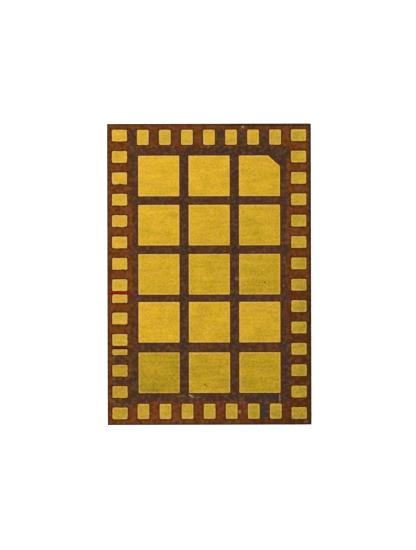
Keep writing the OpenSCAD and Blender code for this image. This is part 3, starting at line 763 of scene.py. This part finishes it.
goldFinish = {
    "roughness": 0.4,
    "waveSpan": (0.25, 0.75),
    "waves": (  # added to the painted light
        {"size": 0.4 * mm, "detail": 1, "share": (-0.1, 0.1)},
        {"size": 0.07 * mm, "detail": 1, "share": (-0.1, 0.1), "stretch": (0.12, 1, 1), "offset": 8 * mm},
        {"size": 0.04 * mm, "share": (-0.25, 0.25), "offset": 6 * mm},
    ),
    "orange": {"size": 0.18 * mm, "offset": 4 * mm, "span": (0.4, 0.7)},
    "green": {"size": 0.14 * mm, "offset": 9 * mm, "span": (0.42, 0.7)},
    "rubbed": {"size": 0.08 * mm, "offset": 2 * mm},
    "worn": (0.45, 0.65, 0, 0.12),  # rubbed noise from and to, share there
    "deep": (0.35, 0.5, 0.7, 0),
    "edgeHighlightBreakup": (0.35, 0.6, 0.3, 1),
    "edge": (0.012, 0.042, 1, 0),  # millimetres from the land's edge, share of the painted highlight there
    # painted shade at the shoulder: millimetres from the land's edge, share there
    "shoulderShade": (0, 0.007, 0.9, 0),
    "fine": 0.02 * mm,
    "roughShare": (0.3, 0.7, 0.34, 0.5),
    "bump": 0.8 * micron,
}


def goldMaterial():
    # Painted light from the land's place, brighter at the top left and darker at the lower right, plus a slow
    # cloud, streaks along X and a grain. Over it lie orange and green clouds, on the edge lands pale rubbed
    # spots and deep ones, then the marks, a painted highlight as a pale band inside each edge, which is
    # duller where the painted light is darker, and painted shade as a dark shoulder where the mask's rim
    # meets the land.
    look, tones = goldFinish, goldTones
    material = newMaterial("nickel gold plating", tones["bright"], look["roughness"], metallic=1.0)
    paintedLight, worn, inset = (attribute(material, name) for name in ("paintedLight", "worn", "inset"))
    bright = paintedLight
    for wave in look["waves"]:
        bright = calculate(material, "ADD", bright, cloud(material, span=look["waveSpan"], **wave))
    # from the dull to the bright tone by the painted light and the waves
    color = blendColor(material, bright, tones["dull"], tones["bright"])
    for tint in ("orange", "green"):
        color = blendColor(material, cloud(material, **look[tint]), color, tones[tint], "MULTIPLY")
    rubbed = noise(material, **look["rubbed"])
    wornShare = calculate(material, "MULTIPLY", worn, ramp(material, rubbed, *look["worn"]))
    color = blendColor(material, wornShare, color, tones["worn"])
    deepShare = calculate(material, "MULTIPLY", worn, ramp(material, rubbed, *look["deep"]))
    color = blendColor(material, deepShare, color, tones["green"], "MULTIPLY")
    color = paintMarks(material, color, goldMarks, tones)
    # painted highlight: a pale band inside each land's edge, broken up by the rubbed noise and duller where
    # the painted light is darker
    edgeHighlightShare = calculate(
        material, "MULTIPLY",
        ramp(material, inset, *look["edge"]), ramp(material, rubbed, *look["edgeHighlightBreakup"])
    )
    edgeHighlightColor = blendColor(material, paintedLight, tones["edgeHighlightDull"], tones["edge"])
    color = blendColor(material, edgeHighlightShare, color, edgeHighlightColor)
    # painted shade: a dark band at the shoulder where the mask's rim meets the land
    color = blendColor(material, ramp(material, inset, *look["shoulderShade"]), color, tones["shoulderShade"])
    setInput(material, "Base Color", color)
    fine = noise(material, look["fine"])
    setInput(material, "Roughness", ramp(material, fine, *look["roughShare"]))
    setBump(material, fine, look["bump"])
    return material


mask = buildMask(maskMaterial())
print("solder mask:", len(mask.data.polygons), "faces")
gold = goldMaterial()
for name in lands:
    buildLands(name, gold)
print("lands plated")


# Materials of the solids that stay as they are
mouldLook = {
    "tone": lit(30, 30, 32),
    "dark": lit(20, 20, 22),
    "light": lit(38, 38, 40),
    "line": lit(64, 64, 66),
    "speck": lit(104, 104, 106),
    "roughness": 0.62,
    "specular": 0.22,
    "cloud": {"size": 0.5 * mm, "detail": 3, "span": (0.35, 0.65)},
    "lines": {"size": 0.035 * mm, "stretch": (0.06, 0.06, 1)},
    "lineShare": (0.45, 0.65, 0, 0.5),
    "cell": 0.05 * mm,  # one filler grain at the most lies in each
    "speckShare": (0.16, 0.36, 0.5, 0),  # distance from the cell's middle, in cells
    "filledCells": (0.4, 0.7, 0, 1),  # the cell's own number
    "skin": (0, 0.01 * mm, 0.15, 1),  # height over the moulded face, whose skin hides most grains
    "roughShare": (0.3, 0.7, 0.5, 0.75),
    "bumpNoise": {"size": 0.02 * mm, "detail": 3},
    "bump": 2 * micron,
}


def mouldMaterial():
    # Black epoxy: slow clouds, fine saw lines along the sides, and a pale filler grain in some of the Voronoi
    # cells, which the moulded face at the bottom covers
    look = mouldLook
    material = newMaterial("black moulding epoxy", look["tone"], look["roughness"], 0, look["specular"])
    tone = blendColor(material, cloud(material, **look["cloud"]), look["dark"], look["light"])
    lines = noise(material, **look["lines"])
    tone = blendColor(material, ramp(material, lines, *look["lineShare"]), tone, look["line"])
    cells = addNode(material, "ShaderNodeTexVoronoi", Scale=1 / look["cell"])
    join(material, patternPlace(material), cells.inputs["Vector"])
    speck = calculate(
        material, "MULTIPLY",
        ramp(material, cells.outputs["Distance"], *look["speckShare"]),
        ramp(material, cells.outputs["Color"], *look["filledCells"])
    )
    speck = calculate(material, "MULTIPLY", speck, ramp(material, objectAxis(material, "Z"), *look["skin"]))
    setInput(material, "Base Color", blendColor(material, speck, tone, look["speck"]))
    setInput(material, "Roughness", ramp(material, lines, *look["roughShare"]))
    setBump(material, calculate(material, "ADD", lines, noise(material, **look["bumpNoise"])), look["bump"])
    return material


laminateLook = {
    "tone": lit(150, 126, 78),
    "resin": lit(128, 100, 54),
    "glass": lit(162, 138, 88),
    "fibre": lit(190, 172, 126),
    "resinLine": lit(78, 56, 26),
    "roughness": 0.55,
    "specular": 0.2,
    "lens": {"size": 0.26 * mm, "detail": 1, "stretch": (1, 1, 5), "span": (0.42, 0.58)},
    "streak": {"size": 0.03 * mm, "detail": 3, "stretch": (0.12, 0.12, 1.2)},
    "fibreShare": (0.45, 0.7, 0, 0.35),
    "middle": 0.73 * mm,  # height of the laminate's middle, and distance of both resin lines from it
    "lineDistance": 0.0575 * mm,
    "lineShare": (0.004 * mm, 0.011 * mm, 0.7, 0),  # distance from a line
    "roughShare": (0.3, 0.7, 0.45, 0.7),
    "bump": 2 * micron,
}


def laminateMaterial():
    # Sawn glass and resin: long lenses of glass in darker resin, pale streaks of cut fibres, and a dark line
    # of resin at the height of each inner plane, where ||z - middle| - distance| is small
    look = laminateLook
    material = newMaterial("sawn glass laminate", look["tone"], look["roughness"], 0, look["specular"])
    color = blendColor(material, cloud(material, **look["lens"]), look["resin"], look["glass"])
    streak = noise(material, **look["streak"])
    color = blendColor(material, ramp(material, streak, *look["fibreShare"]), color, look["fibre"])
    height = objectAxis(material, "Z")
    for level in (look["middle"], look["lineDistance"]):
        height = calculate(material, "ABSOLUTE", calculate(material, "SUBTRACT", height, level), 0)
    color = blendColor(material, ramp(material, height, *look["lineShare"]), color, look["resinLine"])
    setInput(material, "Base Color", color)
    setInput(material, "Roughness", ramp(material, streak, *look["roughShare"]))
    setBump(material, streak, look["bump"])
    return material


metalLook = {
    "detail": 3,
    "span": (0.35, 0.65),
    "roughSpan": (0.3, 0.7),
    "roughShare": (-0.08, 0.1),  # added to the metal's roughness
    "bump": 0.8 * micron,
}


def metalMaterial(name, bright, dark, size, roughness):
    # Metal whose tone and roughness wander between two values with a grain of the given size
    look = metalLook
    material = newMaterial(name, bright, roughness, metallic=1.0)
    grain = noise(material, size, look["detail"])
    setInput(material, "Base Color", blendColor(material, ramp(material, grain, *look["span"]), dark, bright))
    rough = [roughness + change for change in look["roughShare"]]
    setInput(material, "Roughness", ramp(material, grain, *look["roughSpan"], *rough))
    setBump(material, grain, look["bump"])
    return material


ceramicLook = {
    "grain": {"size": 0.012 * mm, "detail": 3},
    "grainShare": (0.35, 0.65, 0, 1),
    "layers": {
        "size": 0.02 * mm, "detail": 1, "stretch": (0.05, 0.05, 1), "span": (0.45, 0.7), "share": (0, 0.3),
    },
    "bump": 1 * micron,
}


def ceramicMaterial(name, light, dark, roughness):
    # Fired ceramic: fine grain and faint layers along the chip's height
    look = ceramicLook
    material = newMaterial(name, light, roughness)
    grain = noise(material, **look["grain"])
    color = blendColor(material, ramp(material, grain, *look["grainShare"]), dark, light)
    color = blendColor(material, cloud(material, **look["layers"]), color, dark)
    setInput(material, "Base Color", color)
    setBump(material, grain, look["bump"])
    return material


innerMaskLook = {
    "tone": lit(96, 60, 34),
    "dark": lit(78, 52, 36),
    "light": lit(118, 68, 34),
    "roughness": 0.5,
    "specular": 0.3,
    "cloud": {"size": 0.3 * mm, "detail": 3},
    "fine": 0.03 * mm,
    "bump": 0.8 * micron,
}


def innerMaskMaterial():
    # Brown film of the component side: slow clouds between two browns
    look = innerMaskLook
    material = newMaterial("inner solder mask", look["tone"], look["roughness"], 0, look["specular"])
    color = blendColor(material, noise(material, **look["cloud"]), look["dark"], look["light"])
    setInput(material, "Base Color", color)
    setBump(material, noise(material, look["fine"]), look["bump"])
    return material


# A metal's numbers are its bright and dark tone, its grain's size and its roughness, and a ceramic's are its
# light and dark tone and its roughness
finishes = {
    "moulding_compound": mouldMaterial(),
    "solder_mask": innerMaskMaterial(),
    "laminate": laminateMaterial(),
    "copper": metalMaterial("etched copper", lit(214, 140, 96), lit(176, 104, 66), 0.03 * mm, 0.38),
    "gold_plating": gold,
    "semiconductor": ceramicMaterial("polished die", lit(92, 94, 104), lit(70, 72, 84), 0.18),
    "die_attach": metalMaterial("silver epoxy", lit(200, 200, 196), lit(150, 150, 146), 0.01 * mm, 0.45),
    "bond_gold": metalMaterial("drawn gold wire", lit(240, 196, 88), lit(214, 168, 66), 0.02 * mm, 0.22),
    "capacitor_ceramic": ceramicMaterial("tan capacitor ceramic", lit(176, 150, 118), lit(150, 122, 90), 0.5),
    "inductor_ceramic": ceramicMaterial(
        "pale inductor ceramic", lit(206, 210, 214), lit(176, 182, 190), 0.45
    ),
    "tin": metalMaterial("matt tin", lit(206, 206, 204), lit(168, 168, 168), 0.015 * mm, 0.4),
}
for node in nodes.values():
    for place in node.material_slots:
        place.material = finishes[place.name]  # a node's slot has the name of the record's slot
print("finishes set:", len(finishes))

# Floor, light and camera
floorLook = {
    "half": 250 * mm,
    "low": (0.92, 0.92, 0.92, 1.0),
    "high": (0.94, 0.94, 0.94, 1.0),
    "roughness": 0.8,
    "specular": 0.1,
    "cloud": 3 * mm,
    "glow": 0.7,
}
sheet = newMaterial("white sheet", floorLook["high"], floorLook["roughness"], 0, floorLook["specular"])
sheetTone = blendColor(sheet, noise(sheet, floorLook["cloud"]), floorLook["low"], floorLook["high"])
setInput(sheet, "Base Color", sheetTone)
sheetShader = sheet.node_tree.nodes["Principled BSDF"]
sheetShader.inputs["Emission Color"].default_value = (1, 1, 1, 1)
sheetShader.inputs["Emission Strength"].default_value = floorLook["glow"]
half = floorLook["half"]
floorMesh = bpy.data.meshes.new("floor")
floorCorners = [(-half, -half, 0), (half, -half, 0), (half, half, 0), (-half, half, 0)]
floorMesh.from_pydata(floorCorners, [], [(0, 1, 2, 3)])
floorMesh.materials.append(sheet)
floor = bpy.data.objects.new("floor", floorMesh)
bpy.context.scene.collection.objects.link(floor)

# White sky whose brightness runs from the horizon's to the overhead light with the height of the direction
horizonLight = 0.75
sky = bpy.data.worlds.new("soft studio")
sky.use_nodes = True
bpy.context.scene.world = sky
skyNodes, skyLinks = sky.node_tree.nodes, sky.node_tree.links
background = skyNodes["Background"]
background.inputs["Color"].default_value = (1, 1, 1, 1)
direction = skyNodes.new("ShaderNodeTexCoord")
upness = skyNodes.new("ShaderNodeSeparateXYZ")
skyRamp = skyNodes.new("ShaderNodeMapRange")
skyLinks.new(direction.outputs["Generated"], upness.inputs["Vector"])
skyLinks.new(upness.outputs["Z"], skyRamp.inputs["Value"])
for key, value in (("From Min", 0), ("From Max", 1), ("To Min", horizonLight), ("To Max", overheadLight)):
    skyRamp.inputs[key].default_value = value
skyLinks.new(skyRamp.outputs["Result"], background.inputs["Strength"])

cameraLook = {
    "pixelsPerMm": 43.07,
    "imageHeight": 550,
    "centreX": -0.030 * mm,  # point of the land side in the middle of the picture
    "centreY": -0.017 * mm,
    "lens": 120.0,
    "sensor": 36.0,
    "roll": np.radians(-0.14),
    "near": 0.5 * mm,  # what it sees starts and ends this far away
    "far": 1000 * mm,
}
# The picture's height on the face, divided by the sensor's and times the lens, is the distance from the face
pictureHeight = cameraLook["imageHeight"] / cameraLook["pixelsPerMm"] * mm
distance = pictureHeight * cameraLook["lens"] / cameraLook["sensor"]
camera = bpy.data.objects.new("camera", bpy.data.cameras.new("camera"))
camera.data.lens = cameraLook["lens"]
camera.data.sensor_width = cameraLook["sensor"]
camera.data.clip_start = cameraLook["near"]
camera.data.clip_end = cameraLook["far"]
camera.location = (cameraLook["centreX"], cameraLook["centreY"], faceTop + distance)
camera.rotation_euler = (0, 0, cameraLook["roll"])
bpy.context.scene.collection.objects.link(camera)
bpy.context.scene.camera = camera
bpy.context.scene.view_settings.view_transform = "Standard"
print("floor, light and camera ready")
